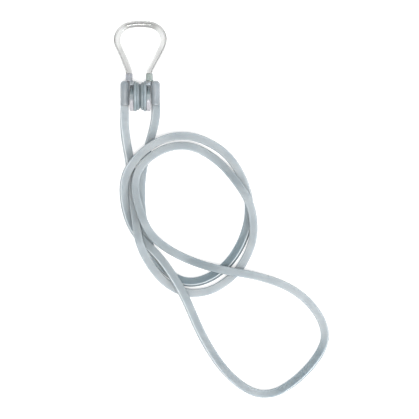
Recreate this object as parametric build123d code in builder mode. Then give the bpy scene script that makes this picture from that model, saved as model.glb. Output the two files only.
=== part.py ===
"""Swimmer's nose clip on a neck cord: sprung bow, ribbed pads, cord sockets and one long loop of cord.

Millimetres, +Z up. The clip lies on a flat surface as it does at rest: the crown of the bow touches
the surface and the round pads hold the other end up, so the plane of the bow leans a little.
The origin is under the middle of the clip, on that surface. The cord lies on it beside the clip.
"""

import os
from math import asin, cos, hypot, pi, radians, sin, tan

from build123d import *

os.makedirs("parts", exist_ok=True)

# ---------------------------------------------------------------- driving dimensions
clip_length = 36.4          # along Y, from the outside of the crown to the foot of the pads
rod_radius = 1.3            # round section of the bow
crown_radius = 24.0         # nearly flat top of the bow, on its centreline
crown_half_turn = 9.6       # degrees of that arc on each side of the middle
shoulder_radius = 6.4
leg_slope = 25.0            # degrees that each leg leans in towards the pads
leg_run = 10.2
knee_radius = 4.0           # bend from the sloping leg to the straight neck
neck_radius = 0.95          # thinner end of the leg, inside its sleeve
neck_length = 3.3

pad_radius = 6.1            # outer rim of the ribbed pads
pad_face_radius = 4.2       # flat face that presses on the nose
pad_gap = 0.3               # between the two faces when the clip is closed
rib_pitch = 1.15
rib_crests = (5.3, pad_radius)      # radius of each rib's crest, from the nose outwards
rib_grooves = (5.05, 5.6)           # and of the groove behind it
hood_thickness = 1.75       # back of the pad, over the top of the foot
hood_lower_edge = 3.75      # from the pad's centre, along the leg

foot_thickness = 1.7
foot_width = 8.6
foot_neck_width = 1.9
foot_rise = 3.6             # round plate of the foot above the pad's centre
foot_neck_top = 6.3         # narrow part, which joins the leg
inner_stud_radius = 1.4
inner_stud_length = 1.5
outer_stud_radius = 1.0
outer_stud_length = 2.0
fit_clearance = 0.03

sleeve_radius = 1.4
sleeve_length = 2.75

socket_radius = 1.65
socket_x = 6.25             # centre of the cord socket from the middle of the clip
socket_top = 6.2            # above the pad's centre
socket_bottom = -3.2

cord_diameter = 3.2
cord_radius = cord_diameter / 2

# ---------------------------------------------------------------- worked out from them
crown_y = clip_length / 2 - rod_radius
pad_y = pad_radius - clip_length / 2
bow_reach = hypot(crown_y - pad_y, pad_radius - rod_radius)
lean = asin((pad_radius - rod_radius) / bow_reach)
clip_plane = Plane(
    origin=(0, crown_y, rod_radius), x_dir=(1, 0, 0), z_dir=(0, sin(lean), cos(lean))
)
pad_centre = Vector(0, pad_y, pad_radius)
pad_face_x = pad_gap / 2
pad_back_x = pad_face_x + len(rib_crests) * rib_pitch
foot_x = pad_back_x + fit_clearance
foot_outer_x = foot_x + foot_thickness


def side_plane(x):
    """A plane square to X at x, through the pad's centre, with its own x up the leg."""
    return Plane(origin=(x, pad_y, pad_radius), x_dir=clip_plane.y_dir, z_dir=(1, 0, 0))


# ---------------------------------------------------------------- bow, one half each side of the crown
with BuildPart() as bow_right_arm:
    with BuildLine(clip_plane) as upper_leg:
        crown = JernArc((0, 0), (1, 0), crown_radius, -crown_half_turn)
        shoulder_turn = 90 + leg_slope - crown_half_turn
        shoulder = JernArc(crown @ 1, crown % 1, shoulder_radius, -shoulder_turn)
        leg = Line(shoulder @ 1, (shoulder @ 1) + (shoulder % 1) * leg_run)
        knee = JernArc(leg @ 1, leg % 1, knee_radius, leg_slope)
    with BuildSketch(Plane(origin=upper_leg.line @ 0, z_dir=upper_leg.line % 0)):
        Circle(rod_radius)
    sweep(path=upper_leg.line)
    neck_top = upper_leg.line @ 1
    neck_down = Plane(origin=neck_top, z_dir=upper_leg.line % 1)
    with BuildSketch(neck_down):
        Circle(neck_radius)
    extrude(amount=neck_length)
    # foot: a round plate behind the pad, with a stud into the pad and one into the cord socket
    with BuildSketch(side_plane(foot_x)):
        with Locations(((foot_rise - pad_radius) / 2, 0)):
            SlotOverall(foot_rise + pad_radius, foot_width)
        with Locations((foot_neck_top / 2, 0)):
            Rectangle(foot_neck_top, foot_neck_width)
    extrude(amount=foot_thickness)
    with BuildSketch(side_plane(foot_x)):
        Circle(inner_stud_radius)
    extrude(amount=-inner_stud_length)
    with BuildSketch(side_plane(foot_outer_x)):
        Circle(outer_stud_radius)
    extrude(amount=outer_stud_length)

with BuildPart() as bow_left_arm:
    mirror(bow_right_arm.part, about=Plane.YZ)


# ---------------------------------------------------------------- ribbed pads
with BuildPart() as right_pad:
    with BuildSketch(Plane.XY.offset(pad_radius)):
        with BuildLine():
            edge = (pad_face_x, pad_y + pad_face_radius)
            Polyline((pad_back_x, pad_y), (pad_face_x, pad_y), edge)
            for rib, (crest, groove) in enumerate(zip(rib_crests, rib_grooves)):
                crest_x = pad_face_x + rib_pitch * (rib + 0.55)
                groove_x = pad_face_x + rib_pitch * (rib + 1)
                behind = (groove_x, pad_y + groove)
                ThreePointArc(edge, (crest_x, pad_y + crest), behind)
                edge = behind
            Line(edge, (pad_back_x, pad_y))
        make_face()
    revolve(axis=Axis(pad_centre, (1, 0, 0)))
    # hood over the top of the foot
    with BuildSketch(side_plane(pad_back_x)) as hood:
        Circle(pad_radius)
        with Locations((hood_lower_edge, 0)):
            Rectangle(2 * pad_radius, 2 * pad_radius, align=(Align.MAX, Align.CENTER), mode=Mode.SUBTRACT)
    extrude(amount=hood_thickness)
    hood_rim = right_pad.edges().filter_by(GeomType.CIRCLE).group_by(Axis.X)[-1]
    fillet(hood_rim, 0.6)
    # the foot and its inner stud fill their own space in the pad
    with BuildSketch(side_plane(foot_x - fit_clearance)):
        with Locations(((foot_rise - pad_radius) / 2, 0)):
            SlotOverall(foot_rise + pad_radius + 2 * fit_clearance, foot_width + 2 * fit_clearance)
        with Locations((pad_radius / 2, 0)):
            Rectangle(pad_radius + 1, foot_neck_width + 2 * fit_clearance)
    extrude(amount=hood_thickness + 1, mode=Mode.SUBTRACT)
    with BuildSketch(side_plane(foot_x)):
        Circle(inner_stud_radius + fit_clearance)
    extrude(amount=-inner_stud_length - fit_clearance, mode=Mode.SUBTRACT)
    with BuildSketch(neck_down):
        Circle(neck_radius + fit_clearance)
    extrude(amount=neck_length + fit_clearance, mode=Mode.SUBTRACT)

with BuildPart() as left_pad:
    mirror(right_pad.part, about=Plane.YZ)


# ---------------------------------------------------------------- sleeves where the legs enter the pads
with BuildPart() as right_leg_sleeve:
    with BuildSketch(neck_down.offset(fit_clearance)):
        Circle(sleeve_radius)
        Circle(neck_radius + fit_clearance, mode=Mode.SUBTRACT)
    extrude(amount=sleeve_length)

with BuildPart() as left_leg_sleeve:
    mirror(right_leg_sleeve.part, about=Plane.YZ)


# ---------------------------------------------------------------- cord sockets, level with the surface
with BuildPart() as right_cord_socket:
    socket_end = Plane(
        origin=(socket_x, pad_y + socket_bottom, pad_radius), x_dir=(1, 0, 0), z_dir=(0, 1, 0)
    )
    with BuildSketch(socket_end):
        Circle(socket_radius)
    extrude(amount=socket_top - socket_bottom)
    dome = right_cord_socket.faces().sort_by(Axis.Y)[-1]
    fillet(dome.edges(), socket_radius - 0.2)
    with BuildSketch(side_plane(foot_outer_x)):
        Circle(outer_stud_radius + fit_clearance)
    extrude(amount=outer_stud_length + fit_clearance, mode=Mode.SUBTRACT)

with BuildPart() as left_cord_socket:
    mirror(right_cord_socket.part, about=Plane.YZ)


# ---------------------------------------------------------------- neck cord
exit_y = pad_y + socket_bottom
low = cord_radius           # centre height of cord that lies on the surface
over = 5.0                  # centre height where it lies on one strand below

# From the left socket: down the left of the bundle, up over the outer strand and round below.
left_run = [
    (-socket_x, exit_y, pad_radius),
    (-socket_x, -19.4, pad_radius),
    (-6.3, -24.2, 4.8),
    (-5.8, -29.2, 2.9),
    (-4.9, -34.4, 1.7),
    (-4.1, -39.2, low),
    (-3.5, -43.9, low),
    (-3.2, -48.4, low),
    (-3.0, -53.0, 2.1),
    (-2.4, -57.8, 3.4),
    (-1.7, -62.4, 5.2),
    (-1.1, -66.8, 7.0),
    (0.1, -71.4, 7.6),
    (2.3, -76.4, 6.2),
    (5.6, -81.6, 3.9),
    (9.9, -86.4, 2.2),
    (15.6, -89.8, low),
    (21.9, -90.8, low),
    (28.1, -89.6, low),
    (33.2, -86.8, low),
    (37.9, -82.9, low),
    (41.5, -77.9, low),
    (44.1, -72.4, low),
    (45.3, -66.8, 3.0),
    (45.1, -61.2, 4.7),
]
# Inner turn: up the right, round the top inside, over both leads and down the middle of the bundle.
inner_turn = [
    (44.0, -55.6, over),
    (41.4, -50.4, 4.9),
    (38.0, -45.6, 3.9),
    (34.4, -41.2, 2.3),
    (30.5, -37.5, low),
    (26.0, -34.4, low),
    (21.2, -32.2, 1.9),
    (16.2, -31.6, 3.6),
    (11.2, -32.4, 4.9),
    (6.3, -34.6, over),
    (1.9, -37.9, 5.1),
    (-1.1, -42.2, 4.9),
    (-2.1, -47.2, 4.7),
    (-1.6, -52.4, 5.1),
    (-0.1, -57.6, 6.0),
    (1.6, -62.5, 6.7),
    (4.0, -66.9, 6.0),
    (7.5, -70.5, 4.4),
    (12.2, -73.8, 2.5),
    (17.8, -76.7, 1.8),
    (23.8, -79.0, 2.9),
    (29.6, -80.6, 4.7),
]
# End loop: over both lower arcs, out to the far end and back.
end_loop = [
    (34.6, -81.6, over),
    (39.6, -82.4, over),
    (45.4, -83.5, 4.1),
    (51.6, -85.2, 2.2),
    (57.8, -87.5, low),
    (63.9, -91.1, low),
    (69.0, -96.0, low),
    (72.9, -102.2, low),
    (74.2, -108.6, low),
    (71.6, -115.0, low),
    (66.8, -121.2, low),
    (60.6, -126.8, low),
    (53.6, -130.8, low),
    (46.4, -131.0, low),
    (39.2, -127.0, low),
    (32.6, -120.4, low),
    (27.6, -113.0, low),
    (23.6, -105.6, low),
]
# Outer turn: over the lower arcs, under the left lead, out round the bundle and over the top.
outer_turn = [
    (20.6, -98.6, 2.8),
    (17.9, -92.4, 4.8),
    (15.0, -87.0, over),
    (11.4, -81.4, over),
    (8.0, -76.9, over),
    (4.6, -73.2, over),
    (1.3, -70.1, 4.5),
    (-1.6, -66.8, 3.4),
    (-4.0, -62.6, 2.2),
    (-5.6, -57.8, 1.7),
    (-6.5, -52.6, 2.3),
    (-6.6, -47.4, 3.6),
    (-5.3, -42.2, 4.8),
    (-2.4, -37.8, 5.1),
    (1.4, -33.8, over),
    (6.0, -30.6, 5.1),
    (11.4, -28.4, 4.9),
    (17.0, -27.6, 3.8),
    (22.4, -28.4, 2.1),
    (27.8, -30.6, low),
    (32.6, -33.6, low),
    (36.8, -37.8, low),
    (40.2, -43.4, low),
    (42.7, -49.6, low),
]
# Right run: under the crossing on the right, then round below inside the other arc to the bundle.
right_run = [
    (43.6, -56.0, low),
    (43.1, -62.2, low),
    (41.6, -67.8, low),
    (39.3, -72.8, low),
    (36.3, -77.4, low),
    (32.4, -81.4, low),
    (27.5, -84.6, low),
    (21.9, -86.4, low),
    (16.6, -86.0, low),
    (11.8, -83.2, low),
    (8.0, -79.4, low),
    (5.2, -75.0, low),
    (3.2, -70.0, low),
    (1.7, -64.6, low),
]
# Right lead: from under the inner turn, up the bundle to the right socket.
right_lead = [
    (0.6, -59.0, low),
    (0.3, -53.2, low),
    (0.3, -47.4, low),
    (0.9, -41.8, low),
    (2.0, -36.4, low),
    (3.2, -31.8, 1.7),
    (4.5, -27.4, 2.9),
    (5.7, -23.1, 4.8),
    (socket_x, -19.0, pad_radius),
    (socket_x, exit_y, pad_radius),
]

stretches = {
    "cord_left_run": left_run,
    "cord_inner_turn": inner_turn,
    "cord_end_loop": end_loop,
    "cord_outer_turn": outer_turn,
    "cord_right_run": right_run,
    "cord_right_lead": right_lead,
}
route = [Vector(*point) for stretch in stretches.values() for point in stretch]


def corner_radius(index):
    """Largest arc at this corner: 0.45 of the shorter run over the tangent of half the turn."""
    before = route[index] - route[index - 1]
    after = route[index + 1] - route[index]
    half_turn = radians(before.get_angle(after)) / 2
    return 0.45 * min(before.length, after.length) / tan(half_turn)


radii = [corner_radius(index) for index in range(1, len(route) - 1)]
cord_parts = {}
cord_length = 0
first = 0
for name, stretch in stretches.items():
    last = first + len(stretch) - 1
    # neighbouring stretches meet face to face, halfway along the run between them
    path_points = list(route[max(first, 1):min(last, len(route) - 2) + 1])
    path_points.insert(0, route[0] if first == 0 else (route[first - 1] + route[first]) / 2)
    path_points.append(route[-1] if last == len(route) - 1 else (route[last] + route[last + 1]) / 2)
    corners = radii[max(first, 1) - 1:min(last, len(route) - 2)]
    with BuildPart() as tube:
        with BuildLine():
            centreline = FilletPolyline(*path_points, radius=corners)
        with BuildSketch(Plane(origin=centreline @ 0, z_dir=centreline % 0)):
            Circle(cord_radius)
        sweep(path=centreline)
    cord_parts[name] = tube.part
    cord_length += centreline.length
    expected = centreline.length * pi * cord_radius**2
    print(f"{name}: {centreline.length:.1f} mm, volume {tube.part.volume:.1f} of {expected:.1f}")
    print("  radii:", " ".join(f"{radius:.0f}" for radius in corners))
    first = last + 1
print(f"cord: {cord_length:.0f} mm in all, tightest radius {min(radii):.1f} mm")

# ---------------------------------------------------------------- one file for each piece
pieces = {
    "bow_right_arm": bow_right_arm.part,
    "bow_left_arm": bow_left_arm.part,
    "right_pad": right_pad.part,
    "left_pad": left_pad.part,
    "right_leg_sleeve": right_leg_sleeve.part,
    "left_leg_sleeve": left_leg_sleeve.part,
    "right_cord_socket": right_cord_socket.part,
    "left_cord_socket": left_cord_socket.part,
    **cord_parts,
}
for name, piece in pieces.items():
    piece.label = name
    export_step(piece, f"parts/{name}.step")
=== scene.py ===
"""Swimmer's nose clip on a neck cord, lying on a pale surface and seen from straight above.

Every length is in metres.
"""

from math import asin, cos, hypot, pi, radians, sin

import bmesh
import bpy
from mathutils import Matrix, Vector


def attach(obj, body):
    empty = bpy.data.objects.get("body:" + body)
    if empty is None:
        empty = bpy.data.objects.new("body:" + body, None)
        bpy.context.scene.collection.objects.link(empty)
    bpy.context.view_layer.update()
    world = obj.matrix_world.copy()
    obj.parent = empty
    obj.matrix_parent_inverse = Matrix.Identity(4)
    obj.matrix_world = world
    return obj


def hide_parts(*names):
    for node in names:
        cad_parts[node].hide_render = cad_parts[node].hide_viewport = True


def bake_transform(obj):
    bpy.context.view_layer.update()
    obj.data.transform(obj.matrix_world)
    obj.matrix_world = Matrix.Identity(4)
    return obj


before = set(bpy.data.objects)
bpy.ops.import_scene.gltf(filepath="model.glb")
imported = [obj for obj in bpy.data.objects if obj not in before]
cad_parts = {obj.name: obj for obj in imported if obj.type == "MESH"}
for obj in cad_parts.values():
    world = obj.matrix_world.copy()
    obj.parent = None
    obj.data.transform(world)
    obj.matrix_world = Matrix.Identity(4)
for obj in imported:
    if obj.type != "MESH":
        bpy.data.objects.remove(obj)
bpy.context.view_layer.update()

MM = 0.001
LEFT, RIGHT = "left_half", "right_half"
scene = bpy.context.scene

# ---------------------------------------------------------------- sizes, as the CAD has them
ROD = 1.3 * MM
PAD_RADIUS = 6.1 * MM
CLIP_LENGTH = 36.4 * MM
CROWN_Y = CLIP_LENGTH / 2 - ROD
PAD_Y = PAD_RADIUS - CLIP_LENGTH / 2
LEAN = asin((PAD_RADIUS - ROD) / hypot(CROWN_Y - PAD_Y, PAD_RADIUS - ROD))
LEG_UP = Vector((0, cos(LEAN), -sin(LEAN)))        # up the leg, towards the crown
CLIP_NORMAL = Vector((0, sin(LEAN), cos(LEAN)))
CROWN = Vector((0, CROWN_Y, ROD))
PAD_CENTRE = Vector((0, PAD_Y, PAD_RADIUS))
CLIP_SPAN = (CROWN - PAD_CENTRE).length            # from the crown down to the pads' centre line
SOCKET_X = 6.25 * MM
SOCKET_RADIUS = 1.65 * MM
SOCKET_HALF_DEPTH = 1.80 * MM
SOCKET_POINTS = 56
CORD = 3.2 * MM                     # width of the strap
CORD_DEPTH = 2.7 * MM
CORD_CORNER = 0.4 * MM


def on_clip(x, up, out=0.0):
    """A point in the plane of the bow: x across, up from the pads' centre line, out of the plane."""
    return PAD_CENTRE + Vector((x, 0, 0)) + LEG_UP * up + CLIP_NORMAL * out


# ---------------------------------------------------------------- small helpers
def new_object(name, mesh, material, body=None, smooth=True):
    thing = bpy.data.objects.new(name, mesh)
    scene.collection.objects.link(thing)
    mesh.materials.append(material)
    for face in mesh.polygons:
        face.use_smooth = smooth
    if body:
        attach(thing, body)
    return thing


def rings_mesh(name, rings):
    """A tube through rings of equal numbers of points, with its ends closed by a fan."""
    mesh = bpy.data.meshes.new(name)
    bm = bmesh.new()
    rows = [[bm.verts.new(point) for point in ring] for ring in rings]
    count = len(rows[0])
    for lower, upper in zip(rows, rows[1:]):
        for i in range(count):
            j = (i + 1) % count
            bm.faces.new((lower[i], lower[j], upper[j], upper[i]))
    for row in (rows[0][::-1], rows[-1]):
        hub = bm.verts.new(sum((v.co for v in row), Vector()) / count)
        for i in range(count):
            bm.faces.new((row[i], row[(i + 1) % count], hub))
    bmesh.ops.recalc_face_normals(bm, faces=bm.faces)
    bm.to_mesh(mesh)
    bm.free()
    return mesh


def point_values(mesh, name, values):
    """Stores one number for each point, which a material reads by that name."""
    mesh.attributes.new(name, "FLOAT", "POINT").data.foreach_set("value", values)


BELL_BASE = 2.718               # about e


def smoothstep(value):
    value = max(0.0, min(1.0, value))
    return value * value * (3 - 2 * value)


def bell(value):
    """1 at nought, falling away on both sides."""
    return BELL_BASE ** (-value * value)


def power(value, exponent):
    """value to that power, with its sign kept."""
    return abs(value) ** exponent * (1 if value > 0 else -1)


# ---------------------------------------------------------------- materials
def material(name):
    made = bpy.data.materials.new(name)
    made.use_nodes = True
    nodes, links = made.node_tree.nodes, made.node_tree.links
    return made, nodes, links, nodes["Principled BSDF"]


def noise(nodes, links, scale, detail=3.0):
    coordinates = nodes.new("ShaderNodeTexCoord")
    texture = nodes.new("ShaderNodeTexNoise")
    texture.inputs["Scale"].default_value = scale
    texture.inputs["Detail"].default_value = detail
    links.new(coordinates.outputs["Object"], texture.inputs["Vector"])
    return texture


def ramp(nodes, links, source, stops):
    colours = nodes.new("ShaderNodeValToRGB")
    first, last = colours.color_ramp.elements
    first.position, first.color = stops[0][0], (*stops[0][1], 1)
    last.position, last.color = stops[-1][0], (*stops[-1][1], 1)
    for place, colour in stops[1:-1]:
        colours.color_ramp.elements.new(place).color = (*colour, 1)
    links.new(source, colours.inputs["Fac"])
    return colours


def attribute(nodes, name):
    """The number stored on the mesh's points by that name, or 0 where there is none."""
    reader = nodes.new("ShaderNodeAttribute")
    reader.attribute_name = name
    return reader.outputs["Fac"]


def mix(nodes, links, factor, first, second, blend_type="MIX"):
    """Blends the first colour into the second, which is an output or a plain colour."""
    made = nodes.new("ShaderNodeMix")
    made.data_type = "RGBA"
    made.blend_type = blend_type
    links.new(factor, made.inputs["Factor"])
    links.new(first, made.inputs["A"])
    if isinstance(second, tuple):
        made.inputs["B"].default_value = (*second, 1)
    else:
        links.new(second, made.inputs["B"])
    return made.outputs["Result"]


def surface_grain(nodes, links, shader, texture, roughness, strength, depth):
    """One texture varies the roughness between two values and raises the surface a little."""
    made = nodes.new("ShaderNodeMapRange")
    made.inputs["To Min"].default_value, made.inputs["To Max"].default_value = roughness
    links.new(texture.outputs["Fac"], made.inputs["Value"])
    links.new(made.outputs["Result"], shader.inputs["Roughness"])
    raised = nodes.new("ShaderNodeBump")
    raised.inputs["Strength"].default_value = strength
    raised.inputs["Distance"].default_value = depth
    links.new(texture.outputs["Fac"], raised.inputs["Height"])
    links.new(raised.outputs["Normal"], shader.inputs["Normal"])


PLASTIC_IOR = 1.49
SILICONE_IOR = 1.41
# painted shade for the cord's rolled stretches
SILICONE_PAINTED_SHADE = (0.13, 0.185, 0.21)
# painted highlight on the cord's raised corners
SILICONE_PAINTED_HIGHLIGHT = (0.60, 0.64, 0.66)
ROUGHNESS_SPREAD = 0.06


def silicone(name, dark, light, transmission, roughness, grain, cloud_size=120.0):
    """Frosted translucent silicone: cloudy colour, a fine moulded grain and a satin surface, with painted
    shade and a painted highlight where the mesh carries them.
    """
    made, nodes, links, shader = material(name)
    cloud = noise(nodes, links, cloud_size, 4.0)
    cloudy = ramp(nodes, links, cloud.outputs["Fac"], [(0.32, dark), (0.68, light)])
    # painted shade: the depth attribute darkens the cord where the rolled strap's face is turned from the
    # light
    with_painted_shade = mix(nodes, links, attribute(nodes, "depth"), cloudy.outputs["Color"], SILICONE_PAINTED_SHADE)
    # painted highlight: the flash attribute paints the raised corner of a rolled strap pale
    with_painted_highlight = mix(nodes, links, attribute(nodes, "painted_highlight"), with_painted_shade, SILICONE_PAINTED_HIGHLIGHT)
    links.new(with_painted_highlight, shader.inputs["Base Color"])
    surface_grain(nodes, links, shader, noise(nodes, links, grain, 2.0),
                  (roughness - ROUGHNESS_SPREAD, roughness + ROUGHNESS_SPREAD), 0.10, 0.04 * MM)
    shader.inputs["IOR"].default_value = SILICONE_IOR
    shader.inputs["Transmission Weight"].default_value = transmission
    shader.inputs["Subsurface Weight"].default_value = 1.0
    shader.inputs["Subsurface Radius"].default_value = (0.9, 1.0, 1.1)
    shader.inputs["Subsurface Scale"].default_value = 3.5 * MM
    return made


def clear_plastic():
    """Clear moulded plastic: greyer at the crown, with painted shade at its outline and down its grooves,
    where refraction darkens the rod.
    """
    made, nodes, links, shader = material("clear moulded plastic")
    # greyer at the crown, and painted shade in a band and along the grooves down each leg
    body = ramp(nodes, links, attribute(nodes, "crown_grey_and_painted_shade"),
                [(0.0, (0.72, 0.725, 0.72)), (0.5, (0.57, 0.575, 0.57)), (1.0, (0.42, 0.42, 0.41))])
    # painted shade: the outline greys by facing, in place of the dark edges that refraction gives the clear
    # rod
    rim = nodes.new("ShaderNodeLayerWeight")
    rim.inputs["Blend"].default_value = 0.5
    outline = ramp(nodes, links, rim.outputs["Facing"],
                   [(0.40, (1.0, 1.0, 1.0)), (0.75, (0.70, 0.71, 0.70)), (1.0, (0.5, 0.5, 0.49))])
    both = mix(nodes, links, attribute(nodes, "rod"), body.outputs["Color"], outline.outputs["Color"],
               "MULTIPLY")
    links.new(both, shader.inputs["Base Color"])
    shader.inputs["Transmission Weight"].default_value = 1.0
    shader.inputs["IOR"].default_value = PLASTIC_IOR
    shader.inputs["Specular IOR Level"].default_value = 0.2
    surface_grain(nodes, links, shader, noise(nodes, links, 180.0, 2.0), (0.03, 0.09), 0.05, 0.2 * MM)
    return made


def foot_plastic_with_painted_light():
    """The foot's plate, by height: lighter below, with painted shade through the middle and a painted
    highlight along its top.
    """
    made, nodes, links, shader = material("foot plastic with painted light")
    # painted shade through the middle of the plate, and a painted highlight along its top edge
    colours = ramp(nodes, links, attribute(nodes, "plate"), [
        (0.0, (0.52, 0.51, 0.54)), (0.34, (0.46, 0.45, 0.49)), (0.46, (0.33, 0.38, 0.40)),
        (0.60, (0.38, 0.43, 0.45)), (0.67, (0.20, 0.25, 0.27)), (0.85, (0.20, 0.25, 0.27)),
        (0.94, (0.46, 0.50, 0.52)), (1.0, (0.46, 0.50, 0.52)),
    ])
    links.new(colours.outputs["Color"], shader.inputs["Base Color"])
    shader.inputs["Transmission Weight"].default_value = 0.3
    shader.inputs["IOR"].default_value = PLASTIC_IOR
    surface_grain(nodes, links, shader, noise(nodes, links, 2400.0, 2.0), (0.10, 0.22), 0.15, 0.05 * MM)
    return made


CLEAR = clear_plastic()
FOOT_PLASTIC_WITH_PAINTED_LIGHT = foot_plastic_with_painted_light()
CORD_SILICONE = silicone("cord silicone", (0.28, 0.315, 0.335), (0.34, 0.37, 0.385), 0.15, 0.42, 5200.0)
PAD_SILICONE = silicone("pad silicone", (0.205, 0.25, 0.27), (0.26, 0.30, 0.32), 0.15, 0.36, 4200.0,
                        300.0)
SOCKET_SILICONE = silicone("socket silicone", (0.255, 0.285, 0.305), (0.31, 0.335, 0.355), 0.15, 0.34,
                           4200.0, 300.0)
LEFT_SLEEVE = silicone("left sleeve silicone", (0.40, 0.415, 0.45), (0.56, 0.575, 0.61), 0.5, 0.22,
                       4200.0, 900.0)
RIGHT_SLEEVE = silicone("right sleeve silicone", (0.38, 0.44, 0.42), (0.50, 0.56, 0.54), 0.5, 0.22,
                        4200.0, 900.0)


# ---------------------------------------------------------------- bow: one clear moulding, foot to foot
CROWN_ARC = 24.0 * MM
CROWN_HALF = radians(9.6)
SHOULDER_ARC = 6.4 * MM
LEG_SLOPE = radians(25.0)
LEG_RUN = 10.2 * MM
KNEE_ARC = 4.0 * MM
NECK = 0.95 * MM
FOOT_X = 3.32 * MM
FOOT_HALF_THICK, FOOT_HALF_WIDE = 0.90 * MM, 4.3 * MM
FOOT_RISE = 3.6 * MM        # of the round plate above the pads' centre
FOOT_STEPS = 96
GROOVE_ANGLE = 63.0         # degrees from the outside of the bow, round its section
GROOVE_DEPTH = 0.16         # of the rod's radius
RIM_DEPTH = 0.22 * MM       # of the hollow between the foot's two rims
BOW_POINTS = 72


def arc(start, heading, radius, turn, steps):
    """Points of an arc that starts at start, heading that way and turning left for a positive turn."""
    side = 1 if turn > 0 else -1
    hub = start + Vector((-sin(heading), cos(heading))) * radius * side
    points = []
    for step in range(1, steps + 1):
        angle = heading + turn * step / steps
        points.append(hub - Vector((-sin(angle), cos(angle))) * radius * side)
    return points, heading + turn


def leg_line():
    """The right half's centreline in the plane of the bow, from the crown down to the neck."""
    points, heading = [Vector((0.0, 0.0))], 0.0
    for radius, turn, steps in [
        (CROWN_ARC, -CROWN_HALF, 12),
        (SHOULDER_ARC, -(pi / 2 + LEG_SLOPE - CROWN_HALF), 44),
    ]:
        more, heading = arc(points[-1], heading, radius, turn, steps)
        points += more
    down = Vector((cos(heading), sin(heading)))
    start = points[-1]
    points += [start + down * LEG_RUN * step / 16 for step in range(1, 17)]
    more, heading = arc(points[-1], heading, KNEE_ARC, LEG_SLOPE, 8)
    return points + more


def section_angle(k):
    """Degrees from the outside of the bow, 0 to 180, of a ring's point number k."""
    return abs((k * 360 / BOW_POINTS + 180) % 360 - 180)


def bow_ring(place, heading, across, deep, grooved):
    """One ring: a round rod with a shallow groove along each face where grooved is 1, or the foot where
    it is 0, which is squarer and hollow between its two rims."""
    side = Vector((-heading.y, heading.x))
    square = 1 - 0.6 * (1 - grooved)                # 1 is an ellipse, less is squarer
    ring = []
    for k in range(BOW_POINTS):
        angle = 2 * pi * k / BOW_POINTS
        trim = 1 - GROOVE_DEPTH * grooved * bell((section_angle(k) - GROOVE_ANGLE) / 8)
        wide, high = power(cos(angle), square), power(sin(angle), square)
        hollow = RIM_DEPTH * (1 - grooved) * bell(wide / 0.38) * min(1.0, deep / (2 * MM))
        high *= (deep - hollow) / deep
        flat = place + side * across * trim * wide
        ring.append(CROWN + Vector((flat.x, 0, 0)) + LEG_UP * flat.y
                    + CLIP_NORMAL * deep * trim * high)
    return ring


def bow_stations():
    """Places down the right half: centre, heading, half width, half depth, and distance from the crown."""
    line = leg_line()
    stations = [(place, ROD, ROD) for place in line]
    neck_x, neck_up = line[-1]
    foot_end = -CLIP_SPAN - PAD_RADIUS
    for step in range(1, FOOT_STEPS + 1):
        up = neck_up + (foot_end - neck_up) * step / FOOT_STEPS
        above = up + CLIP_SPAN                          # height above the pads' centre
        thin = smoothstep((neck_up - up) / (0.7 * MM))
        flat = smoothstep((6.2 * MM - above) / (2.0 * MM))
        radius = ROD + (NECK - ROD) * thin
        across = radius + (FOOT_HALF_THICK - radius) * flat
        shoulder = (above - FOOT_RISE + FOOT_HALF_WIDE) / FOOT_HALF_WIDE
        deep = radius
        if shoulder < 1:
            deep = max(radius, FOOT_HALF_WIDE * (1 - max(0.0, shoulder) ** 2) ** 0.5)
        x = neck_x + (FOOT_X - neck_x) * flat
        toe = (above + PAD_RADIUS) / FOOT_HALF_WIDE
        if toe < 1:
            deep *= max(0.01, 1 - (1 - toe) ** 2) ** 0.5
            across *= max(0.05, 1 - (1 - toe) ** 10) ** 0.5
        stations.append((Vector((x, up)), across, deep))
    placed, distance = [], 0.0
    for index, (place, across, deep) in enumerate(stations):
        if index:
            distance += (place - stations[index - 1][0]).length
        ahead = stations[min(index + 1, len(stations) - 1)][0]
        behind = stations[max(index - 1, 0)][0]
        heading = (ahead - behind).normalized() if index else Vector((1, 0))
        placed.append((place, heading, across, deep, distance))
    return placed


def crown_grey_and_painted_shade(distance, k):
    """Greyer at the crown, clear at the shoulders, with painted shade in a band down the inner side of each
    leg and a line along each groove, where refraction darkens the rod.
    """
    around = section_angle(k)
    band = smoothstep((around - GROOVE_ANGLE - 2) / 6) * (1 - smoothstep((around - 150) / 20))
    line = bell((around - GROOVE_ANGLE) / 6)
    crown = 1 - smoothstep((distance - 5.2 * MM) / (3.2 * MM))
    leg = smoothstep((distance - 15 * MM) / (3 * MM))
    return min(1.0, crown * (0.55 + 0.2 * band) + leg * 0.3 * band + 0.9 * line * (1 - crown))


def askew(point):
    """The bow was sprung together slightly askew, so both necks lie a little to the left."""
    below_shoulder = smoothstep((CROWN_Y - point.y - 12 * MM) / (9 * MM))
    above_foot = smoothstep((point.y + 8 * MM) / (3 * MM))
    return Vector((point.x - 0.45 * MM * (below_shoulder * above_foot), point.y, point.z))


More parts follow.
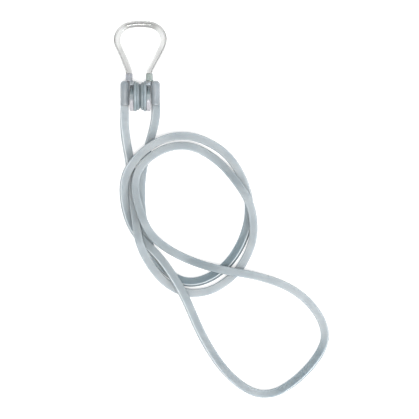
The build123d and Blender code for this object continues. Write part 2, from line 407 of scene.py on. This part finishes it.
def bow_mesh():
    """Round rod that thins at the neck and flattens into the foot behind each pad."""
    half, cloud, rod, plate = [], [], [], []
    for place, heading, across, deep, distance in bow_stations():
        grooved = 1 - smoothstep((distance - 34 * MM) / (3 * MM))
        half.append(bow_ring(place, heading, across, deep, grooved))
        # the crown's grey, and painted shade down each leg
        cloud.append([crown_grey_and_painted_shade(distance, k) * grooved for k in range(BOW_POINTS)])
        rod.append([grooved] * BOW_POINTS)
        plate.append([(place.y + CLIP_SPAN + PAD_RADIUS) / (FOOT_RISE + PAD_RADIUS)] * BOW_POINTS)
    mirrored = [[Vector((-p.x, p.y, p.z)) for p in ring] for ring in half[:0:-1]]
    rings = [[askew(p) for p in ring] for ring in mirrored + half]
    mesh = rings_mesh("bow", rings)
    for name, rows in (("crown_grey_and_painted_shade", cloud), ("rod", rod), ("plate", plate)):
        values = [value for row in rows[:0:-1] + rows for value in row]
        values += [0.0] * (len(mesh.vertices) - len(values))
        point_values(mesh, name, values)
    return mesh


bow = new_object("bow", bow_mesh(), CLEAR)
bow.data.materials.append(FOOT_PLASTIC_WITH_PAINTED_LIGHT)
plate_height = bow.data.attributes["plate"].data
for face in bow.data.polygons:
    if all(plate_height[corner].value < 1.02 for corner in face.vertices):
        face.material_index = 1
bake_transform(bow)
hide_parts("bow_left_arm", "bow_right_arm")


# ---------------------------------------------------------------- pads, sleeves and sockets
def lathe_mesh(name, profile, centre, along, count=72):
    """Turns (distance along, radius) pairs about an axis. Ends with radius 0 close it."""
    start = Vector((0, 0, 1)) if abs(along.z) < 0.9 else Vector((1, 0, 0))
    side = along.cross(start).normalized()
    other = along.cross(side).normalized()
    rings = []
    for distance, radius in profile:
        radius = max(radius, 0.01 * MM)
        rings.append([
            centre + along * distance
            + (side * cos(2 * pi * k / count) + other * sin(2 * pi * k / count)) * radius
            for k in range(count)
        ])
    return rings_mesh(name, rings)


def rib_profile():
    """Pad outline from the nose face outwards: flat face, then two round ribs, each one larger."""
    face, face_radius = 0.04 * MM, 4.3 * MM
    points = [(face, 0.0), (face, face_radius)]
    for step in range(1, 7):
        angle = pi / 2 * step / 6
        points.append((face + 0.4 * MM * (1 - cos(angle)), face_radius + 0.85 * MM * sin(angle)))
    for middle, crest, half_width, depth in [
        (0.95 * MM, 5.60 * MM, 0.46 * MM, 0.26 * MM),
        (1.93 * MM, 6.10 * MM, 0.50 * MM, 0.28 * MM),
    ]:
        for step in range(13):
            angle = -pi / 2 + pi * step / 12
            points.append((middle + half_width * sin(angle), crest - depth * (1 - cos(angle))))
    points += [(2.58 * MM, 5.35 * MM), (2.62 * MM, 4.6 * MM), (2.62 * MM, 0.0)]
    return points


def hood_mesh(side):
    """Cap over the top of the foot: the upper part of a disc, with a round outer rim."""
    edge, middle = 3.75 * MM, 4.7 * MM              # its lower edge, and the height that it narrows to
    lowest = asin(edge / PAD_RADIUS)
    outline = [(PAD_RADIUS * cos(a), PAD_RADIUS * sin(a))
               for a in [lowest + (pi - 2 * lowest) * step / 60 for step in range(61)]]
    reach, corner = outline[0][0], 0.35 * MM
    outline = outline[2:-2] + [
        (-reach + corner, edge), *[(reach * part, edge) for part in (-0.7, -0.35, 0, 0.35, 0.7)],
        (reach - corner, edge),
    ]
    rings = []
    for x, inset in [(2.3, 0.2), (2.5, 0.06), (2.8, 0.0), (3.6, 0.0), (3.9, 0.08), (4.1, 0.25),
                     (4.2, 0.5), (4.22, 0.9)]:
        shrink = max(1 - inset * MM / (PAD_RADIUS - middle), 0.35)
        rings.append([on_clip(side * x * MM, middle + (up - middle) * shrink, out * shrink)
                      for out, up in outline])
    return rings_mesh("hood", rings)


def socket_rings(side):
    """A soft column along Y with a domed top. It reaches in to the foot and grips the cord below."""
    foot, top, dome = -3.2 * MM, 6.2 * MM, 1.7 * MM
    # height, size of the section, and how far it reaches in to the foot
    stations = [(foot - 0.5 * MM, 0.93, 0.2), (foot - 0.3 * MM, 1.0, 0.45), (foot + 0.2 * MM, 1.02, 0.8),
                (foot + 1.0 * MM, 0.99, 0.97), (foot + 1.9 * MM, 0.96, 1.0), (foot + 3.2 * MM, 1.0, 1.0),
                (top - dome, 1.0, 1.0)]
    stations += [(top - dome + dome * sin(a), cos(a), cos(a))
                 for a in [pi / 2 * step / 12 for step in range(1, 13)]]
    rings = []
    for up, size, reach_in in stations:
        size, reach_in = max(size, 0.02), max(reach_in, 0.02)
        ring = []
        for k in range(SOCKET_POINTS):
            angle = 2 * pi * k / SOCKET_POINTS
            outward = cos(angle) > 0
            reach = SOCKET_RADIUS * size if outward else (1.62 + 0.34 * reach_in) * MM * min(size, 1.0)
            squareness = 1.0 if outward else 0.75
            across, deep = power(cos(angle), squareness), power(sin(angle), squareness)
            ring.append(Vector((side * (SOCKET_X + reach * across), PAD_Y + up,
                                PAD_RADIUS + SOCKET_HALF_DEPTH * size * deep)))
        rings.append(ring)
    return rings


def add_side(side, body, prefix, sleeve_material):
    out = Vector((side, 0, 0))
    pad = new_object(prefix + "_ribbed_pad", lathe_mesh("pad", rib_profile(), PAD_CENTRE, out, 96),
                     PAD_SILICONE, body)
    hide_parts(prefix + "_pad")
    hood = new_object(prefix + "_pad_hood", hood_mesh(side), SOCKET_SILICONE, body)

    sleeve_top = 9.15 * MM
    sleeve_x = 4.05 * MM * side - 0.4 * MM          # both lie a little to the left, as the necks do
    sleeve_profile = [
        (0.0, 0.98 * MM), (0.0, 1.22 * MM), (0.12 * MM, 1.34 * MM), (0.6 * MM, 1.38 * MM),
        (1.6 * MM, 1.38 * MM), (2.6 * MM, 1.45 * MM), (3.25 * MM, 1.55 * MM), (3.25 * MM, 0.98 * MM),
    ]
    sleeve = new_object(prefix + "_sleeve",
                        lathe_mesh("sleeve", sleeve_profile, on_clip(sleeve_x, sleeve_top), -LEG_UP, 48),
                        sleeve_material, body)
    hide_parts(prefix + "_leg_sleeve")

    socket = new_object(prefix + "_socket", rings_mesh("socket", socket_rings(side)), SOCKET_SILICONE, body)
    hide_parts(prefix + "_cord_socket")


add_side(-1, LEFT, "left", LEFT_SLEEVE)
add_side(1, RIGHT, "right", RIGHT_SLEEVE)


# ---------------------------------------------------------------- neck cord
EXIT_Y = PAD_Y / MM - 3.2
LOW = 1.6       # millimetres, as are the routes below: centre height of cord on the surface
OVER = 5.0

MAIN_ROUTE = [
    # down the left of the bundle, over the outer strand and round below
    (-6.25, EXIT_Y, 6.1), (-6.25, -19.4, 6.1), (-6.3, -24.2, 4.8), (-5.8, -29.2, 2.9),
    (-4.9, -34.4, 1.7), (-4.1, -39.2, LOW), (-3.5, -43.9, LOW), (-3.2, -48.4, LOW),
    (-3.0, -53.0, 2.1), (-2.4, -57.8, 3.4), (-1.7, -62.4, 5.2), (-1.1, -66.8, 7.0),
    (0.1, -71.4, 7.6), (2.3, -76.4, 6.2), (5.6, -81.6, 3.9), (9.9, -86.4, 2.2),
    (15.6, -89.8, LOW), (21.9, -90.8, LOW), (28.1, -89.6, LOW), (33.2, -86.8, LOW),
    (37.9, -82.9, LOW), (41.5, -77.9, LOW), (44.1, -72.4, LOW), (45.3, -66.8, 3.0),
    (45.1, -61.2, 4.7),
    # inner turn, over both leads and down the middle of the bundle
    (44.0, -55.6, OVER), (41.4, -50.4, 4.9), (38.0, -45.6, 3.9), (34.4, -41.2, 2.3),
    (30.5, -37.5, LOW), (26.0, -34.4, LOW), (21.2, -32.2, 1.9), (16.2, -31.6, 3.6),
    (11.2, -32.4, 4.9), (6.3, -34.6, OVER), (1.9, -37.9, 5.1), (-1.1, -42.2, 4.9),
    (-2.1, -47.2, 4.7), (-1.6, -52.4, 5.1), (-0.1, -57.6, 6.0), (1.6, -62.5, 6.7),
    (4.0, -66.9, 6.0), (7.5, -70.5, 4.4), (12.2, -73.8, 2.5), (17.8, -76.7, 1.8),
    (23.8, -79.0, 2.9), (29.6, -80.6, 4.7),
    # end loop
    (34.6, -81.6, OVER), (39.6, -82.4, OVER), (45.4, -83.5, 4.1), (51.6, -85.2, 2.2),
    (57.8, -87.5, LOW), (63.9, -91.1, LOW), (69.0, -96.0, LOW), (72.9, -102.2, LOW),
    (74.2, -108.6, LOW), (71.6, -115.0, LOW), (66.8, -121.2, LOW), (60.6, -126.8, LOW),
    (53.6, -130.8, LOW), (46.4, -131.0, LOW), (39.2, -127.0, LOW), (32.6, -120.4, LOW),
    (27.6, -113.0, LOW), (23.6, -105.6, LOW),
    # outer turn, under the left lead, round the bundle and over the top
    (20.6, -98.6, 2.8), (17.9, -92.4, 4.8), (15.0, -87.0, OVER), (11.4, -81.4, OVER),
    (8.0, -76.9, OVER), (4.6, -73.2, OVER), (1.3, -70.1, 4.5), (-1.6, -66.8, 3.4),
    (-4.0, -62.6, 2.2), (-5.6, -57.8, 1.7), (-6.5, -52.6, 2.3), (-6.6, -47.4, 3.6),
    (-5.3, -42.2, 4.8), (-2.4, -37.8, 5.1), (1.4, -33.8, OVER), (6.0, -30.6, 5.1),
    (11.4, -28.4, 4.9), (17.0, -27.6, 3.8), (22.4, -28.4, 2.1), (27.8, -30.6, LOW),
    (32.6, -33.6, LOW), (36.8, -37.8, LOW), (40.2, -43.4, LOW), (42.7, -49.6, LOW),
    # right run, inside the other arc and back to the bundle
    (43.6, -56.0, LOW), (43.1, -62.2, LOW), (41.6, -67.8, LOW), (39.3, -72.8, LOW),
    (36.3, -77.4, LOW), (32.4, -81.4, LOW), (27.5, -84.6, LOW), (21.9, -86.4, LOW),
    (16.6, -86.0, LOW), (11.8, -83.2, LOW), (8.0, -79.4, LOW), (5.2, -75.0, LOW),
    (3.2, -70.0, LOW), (1.7, -64.6, LOW), (1.15, -61.8, LOW),
]
LEAD_ROUTE = [
    (1.15, -61.8, LOW), (0.6, -59.0, LOW), (0.3, -53.2, LOW), (0.3, -47.4, LOW),
    (0.9, -41.8, LOW), (2.0, -36.4, LOW), (3.2, -31.8, 1.7), (4.5, -27.4, 2.9),
    (5.7, -23.1, 4.8), (6.25, -19.0, 6.1), (6.25, EXIT_Y, 6.1),
]


def spline_points(route):
    """Points along the NURBS curve whose control points are the route."""
    curve = bpy.data.curves.new("route", "CURVE")
    curve.dimensions = "3D"
    spline = curve.splines.new("NURBS")
    spline.points.add(len(route) - 1)
    for point, place in zip(spline.points, route):
        point.co = (*[value * MM for value in place], 1)
    spline.order_u = 3
    spline.use_endpoint_u = True
    spline.resolution_u = 12
    holder = bpy.data.objects.new("route", curve)
    mesh = bpy.data.meshes.new_from_object(holder)
    points = [vertex.co.copy() for vertex in mesh.vertices]
    bpy.data.objects.remove(holder)
    bpy.data.meshes.remove(mesh)
    return points


FLAT_BY_CORNER = 0.12 * MM      # extra point on the flat side, which keeps a corner's light line thin
# painted highlight: the roll at which the painted highlight on the raised corner is full
FULL_PAINTED_HIGHLIGHT = radians(20)        # roll at which the raised corner is at its palest


def strap_section():
    """A rectangle with round corners: points round its middle, each with its share of the painted highlight
    on the two upper corners, right and left."""
    points, shares, count = [], [], 7
    no_share = (0.0, 0.0)
    for quarter, (sx, sy, share) in enumerate([
        (1, 1, (1.0, 0.0)), (-1, 1, (0.0, 1.0)), (-1, -1, no_share), (1, -1, no_share),
    ]):
        hub = (sx * (CORD / 2 - CORD_CORNER), sy * (CORD_DEPTH / 2 - CORD_CORNER))
        for step in range(-1, count + 1):
            angle = pi / 2 * (quarter + max(0, min(count - 1, step)) / (count - 1))
            x, y = hub[0] + CORD_CORNER * cos(angle), hub[1] + CORD_CORNER * sin(angle)
            if step in (-1, count):
                back = FLAT_BY_CORNER if step == -1 else -FLAT_BY_CORNER
                x, y = x + back * sin(angle), y - back * cos(angle)
            points.append((x, y))
            shares.append(share if 2 <= step <= 4 else no_share)
    return points, shares


def cord_mesh(name, points, twist_at, painted_shade_at):
    """Sweeps the cord's section along points, turned about the line by twist_at(distance)."""
    section, shares = strap_section()
    rings, painted_shades, painted_highlights, distance = [], [], [], 0.0
    for index, point in enumerate(points):
        ahead = points[min(index + 1, len(points) - 1)]
        behind = points[max(index - 1, 0)]
        heading = (ahead - behind).normalized()
        if index:
            distance += (point - points[index - 1]).length
        flat = Vector((0, 0, 1)).cross(heading).normalized()
        up = heading.cross(flat)
        turn = twist_at(distance)
        across = flat * cos(turn) + up * sin(turn)
        deep = up * cos(turn) - flat * sin(turn)
        rings.append([point + across * x + deep * y for x, y in section])
        # painted shade along the cord, kept on its points
        painted_shades += [painted_shade_at(distance)] * len(section)
        # painted highlight on the corner that the roll raises
        rise = sin(turn) / sin(FULL_PAINTED_HIGHLIGHT)
        painted_highlights += [min(1.0, right * max(0.0, rise) + left * max(0.0, -rise)) for right, left in shares]
    mesh = rings_mesh(name, rings)
    # the painted shade and the painted highlight go on the points by these names
    for attribute_name, values in (("depth", painted_shades), ("painted_highlight", painted_highlights)):
        point_values(mesh, attribute_name, values + [values[0], values[-1]])
    return mesh


def length_of(points):
    return sum((b - a).length for a, b in zip(points, points[1:]))


main_points = spline_points(MAIN_ROUTE)
lead_points = spline_points(LEAD_ROUTE)
main_length = length_of(main_points)
lead_length = length_of(lead_points)

# how far the strap has rolled over, in degrees, at distances along the cord in millimetres
ROLL = [
    (0, 0), (5, -12), (12, -18), (25, -18), (34, -5), (48, 0), (300, 0), (312, 8), (322, 15),
    (333, 14), (342, 5), (350, 2), (360, 8), (370, 15), (440, 16), (458, 12), (470, 3), (500, 0),
    (530, 10), (540, 18), (555, 20), (570, 17), (580, 7), (595, 0), (700, 0),
]

# painted shade along the cord, 0 to 1, at the same kind of distances: darker where the rolled strap's face
# is turned from the light
PAINTED_SHADE_TABLE = [
    (0, 0.0), (200, 0.1), (245, 0.3), (262, 0.2), (275, 0.0), (305, 0.0), (318, 0.5), (338, 0.5),
    (350, 0.1), (380, 0.0), (420, 0.15), (520, 0.0), (532, 0.35), (545, 0.72), (578, 0.72), (592, 0.3),
    (700, 0.1),
]


def read_table(table, distance):
    """Reads a table of (millimetres along, value), easing from each value to the next."""
    place = distance / MM
    for (before, low), (after, high) in zip(table, table[1:]):
        if place <= after:
            return low + (high - low) * smoothstep((place - before) / (after - before))
    return table[-1][1]


def twist(distance):
    """The strap lies flat on most of its length and rolls on to a corner where it is twisted."""
    return radians(read_table(ROLL, distance))


def lead_twist(distance):
    """The right lead goes on from there, and turns a little into its socket."""
    return twist(main_length) + radians(14) * smoothstep(distance / lead_length * 2 - 1)


# painted shade along the main cord, read from the table above
def cord_painted_shade(distance):
    return read_table(PAINTED_SHADE_TABLE, distance)


def lead_painted_shade(distance):
    return cord_painted_shade(main_length + distance)


neck_cord = new_object("neck_cord", cord_mesh("neck_cord", main_points, twist, cord_painted_shade), CORD_SILICONE, LEFT)
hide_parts("cord_left_run", "cord_inner_turn", "cord_end_loop", "cord_outer_turn",
            "cord_right_run")

right_lead = new_object("right_lead", cord_mesh("right_lead", lead_points, lead_twist, lead_painted_shade),
                        CORD_SILICONE)
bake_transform(right_lead)
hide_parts("cord_right_lead")


# ---------------------------------------------------------------- floor, light and camera
VIEW_WIDTH = 167.6 * MM             # of the surface, across the picture
VIEW_CENTRE = (27.6 * MM, -57.2 * MM)
LENS = 300.0
SENSOR = 36.0
FLOOR_REACH = 1.2
FLOOR_GLOW = 0.42                   # keeps the pale surface white in soft shadow
SKY_STRENGTH = 0.75


def add_floor():
    mesh = bpy.data.meshes.new("floor")
    reach = FLOOR_REACH
    mesh.from_pydata([(-reach, -reach, 0), (reach, -reach, 0), (reach, reach, 0), (-reach, reach, 0)],
                     [], [(0, 1, 2, 3)])
    made, nodes, links, shader = material("pale surface")
    shader.inputs["Roughness"].default_value = 0.9
    shader.inputs["Specular IOR Level"].default_value = 0.1
    mottle = noise(nodes, links, 6.0)
    colours = ramp(nodes, links, mottle.outputs["Fac"],
                   [(0.0, (0.68, 0.68, 0.68)), (1.0, (0.70, 0.70, 0.70))])
    links.new(colours.outputs["Color"], shader.inputs["Base Color"])
    shader.inputs["Emission Color"].default_value = (1, 1, 1, 1)
    shader.inputs["Emission Strength"].default_value = FLOOR_GLOW
    floor = new_object("floor", mesh, made, smooth=False)


def add_light(name, place, size, energy):
    light = bpy.data.lights.new(name, "AREA")
    light.shape = "RECTANGLE"
    light.size, light.size_y = size
    light.energy = energy
    lamp = bpy.data.objects.new(name, light)
    lamp.location = place
    aim = Vector((*VIEW_CENTRE, 0)) - Vector(place)
    lamp.rotation_euler = aim.to_track_quat("-Z", "Y").to_euler()
    scene.collection.objects.link(lamp)


add_floor()
add_light("overhead", (0.05, -0.35, 1.9), (0.7, 0.7), 28.0)
add_light("side", (0.75, -0.65, 0.75), (0.6, 0.6), 8.0)

world = bpy.data.worlds.new("studio")
world.use_nodes = True
world.node_tree.nodes["Background"].inputs["Color"].default_value = (1, 1, 1, 1)
world.node_tree.nodes["Background"].inputs["Strength"].default_value = SKY_STRENGTH
scene.world = world
scene.view_settings.view_transform = "Standard"

camera = bpy.data.cameras.new("camera")
camera.lens = LENS
camera.sensor_width = SENSOR
camera.clip_start, camera.clip_end = 0.01, 20.0
eye = bpy.data.objects.new("camera", camera)
eye.location = (*VIEW_CENTRE, VIEW_WIDTH * LENS / SENSOR)
scene.collection.objects.link(eye)
scene.camera = eye
